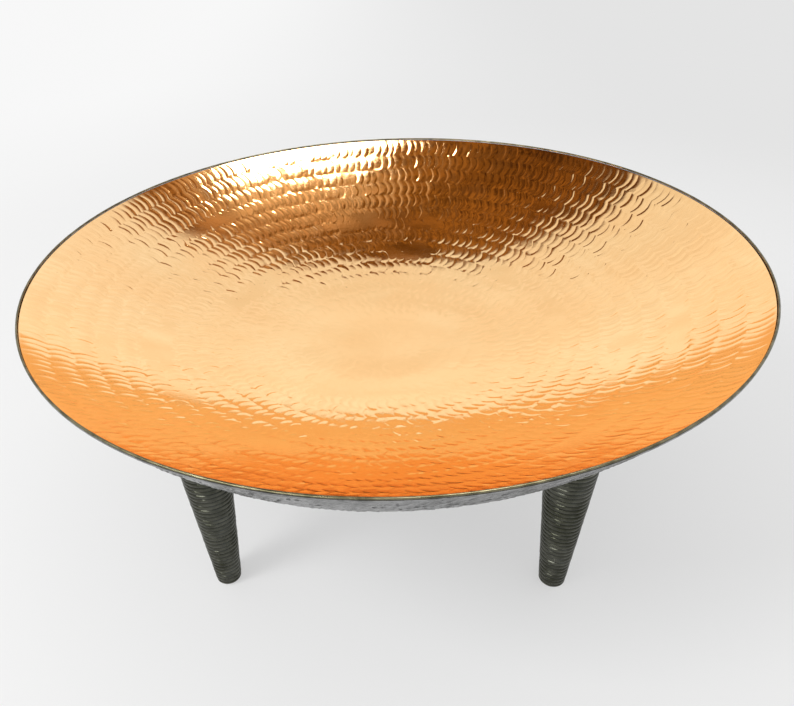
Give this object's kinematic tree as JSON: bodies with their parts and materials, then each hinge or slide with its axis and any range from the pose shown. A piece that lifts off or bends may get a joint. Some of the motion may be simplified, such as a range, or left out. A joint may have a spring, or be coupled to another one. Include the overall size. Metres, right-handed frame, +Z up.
{
  "type": "tray table",
  "caption": "Low round tray table: a wide hammered copper-coloured dish in a dark outer shell, on tapered ringed legs that unscrew.",
  "frame": {"origin": "on the floor under the middle of the dish", "axes": "+Z up through the middle of the dish; -Y is the front, between two of the legs; +X to the right"},
  "size_m": [0.8, 0.8, 0.3423],
  "materials": {
    "polished_copper": "polished, hand-hammered in rings, copper-coloured",
    "dark_patina": "grey-dark patina over a hammered surface",
    "rim_patina": "dark olive patina, rubbed on its upper edge",
    "leg_patina": "dark gunmetal patina, ringed by hammering",
    "zinc_steel": "zinc-plated",
    "fibre": "matt vulcanised fibre",
    "glide_plastic": "matt black moulding"
  },
  "bodies": {
    "tray": {"dish_inner": "polished_copper", "dish_outer": "dark_patina", "rim_bead": "rim_patina", "leg_collar_front_left": "leg_patina", "mount_block_front_left": "zinc_steel", "nut_washer_front_left": "zinc_steel", "captive_nut_front_left": "zinc_steel", "leg_collar_front_right": "leg_patina", "mount_block_front_right": "zinc_steel", "nut_washer_front_right": "zinc_steel", "captive_nut_front_right": "zinc_steel", "leg_collar_back_right": "leg_patina", "mount_block_back_right": "zinc_steel", "nut_washer_back_right": "zinc_steel", "captive_nut_back_right": "zinc_steel", "leg_collar_back_left": "leg_patina", "mount_block_back_left": "zinc_steel", "nut_washer_back_left": "zinc_steel", "captive_nut_back_left": "zinc_steel"},
    "washer_front_left": {"leg_washer_front_left": "fibre"},
    "leg_front_left": {"leg_cone_front_left": "leg_patina", "leg_plate_front_left": "zinc_steel", "stud_nut_front_left": "zinc_steel", "leg_stud_front_left": "zinc_steel", "foot_glide_front_left": "glide_plastic"},
    "washer_front_right": {"leg_washer_front_right": "fibre"},
    "leg_front_right": {"leg_cone_front_right": "leg_patina", "leg_plate_front_right": "zinc_steel", "stud_nut_front_right": "zinc_steel", "leg_stud_front_right": "zinc_steel", "foot_glide_front_right": "glide_plastic"},
    "washer_back_right": {"leg_washer_back_right": "fibre"},
    "leg_back_right": {"leg_cone_back_right": "leg_patina", "leg_plate_back_right": "zinc_steel", "stud_nut_back_right": "zinc_steel", "leg_stud_back_right": "zinc_steel", "foot_glide_back_right": "glide_plastic"},
    "washer_back_left": {"leg_washer_back_left": "fibre"},
    "leg_back_left": {"leg_cone_back_left": "leg_patina", "leg_plate_back_left": "zinc_steel", "stud_nut_back_left": "zinc_steel", "leg_stud_back_left": "zinc_steel", "foot_glide_back_left": "glide_plastic"}
  },
  "joints": [
    {"name": "leg_front_left_drop", "type": "slide", "parent": "tray", "child": "washer_front_left", "axis": [0, 0, -1], "range_m": [0, 0.0105]},
    {"name": "leg_front_left_turn", "type": "hinge", "parent": "washer_front_left", "child": "leg_front_left", "pos_m": [-0.19304, -0.19304, 0.188], "axis": [0, 0, -1], "range_deg": [0, 2520]},
    {"name": "leg_front_right_drop", "type": "slide", "parent": "tray", "child": "washer_front_right", "axis": [0, 0, -1], "range_m": [0, 0.0105]},
    {"name": "leg_front_right_turn", "type": "hinge", "parent": "washer_front_right", "child": "leg_front_right", "pos_m": [0.19304, -0.19304, 0.188], "axis": [0, 0, -1], "range_deg": [0, 2520]},
    {"name": "leg_back_right_drop", "type": "slide", "parent": "tray", "child": "washer_back_right", "axis": [0, 0, -1], "range_m": [0, 0.0105]},
    {"name": "leg_back_right_turn", "type": "hinge", "parent": "washer_back_right", "child": "leg_back_right", "pos_m": [0.19304, 0.19304, 0.188], "axis": [0, 0, -1], "range_deg": [0, 2520]},
    {"name": "leg_back_left_drop", "type": "slide", "parent": "tray", "child": "washer_back_left", "axis": [0, 0, -1], "range_m": [0, 0.0105]},
    {"name": "leg_back_left_turn", "type": "hinge", "parent": "washer_back_left", "child": "leg_back_left", "pos_m": [-0.19304, 0.19304, 0.188], "axis": [0, 0, -1], "range_deg": [0, 2520]}
  ],
  "couplings": [
    {"joint": "leg_front_left_turn", "follows": "leg_front_left_drop", "rad_per_m": 4188.8},
    {"joint": "leg_front_right_turn", "follows": "leg_front_right_drop", "rad_per_m": 4188.8},
    {"joint": "leg_back_right_turn", "follows": "leg_back_right_drop", "rad_per_m": 4188.8},
    {"joint": "leg_back_left_turn", "follows": "leg_back_left_drop", "rad_per_m": 4188.8}
  ]
}
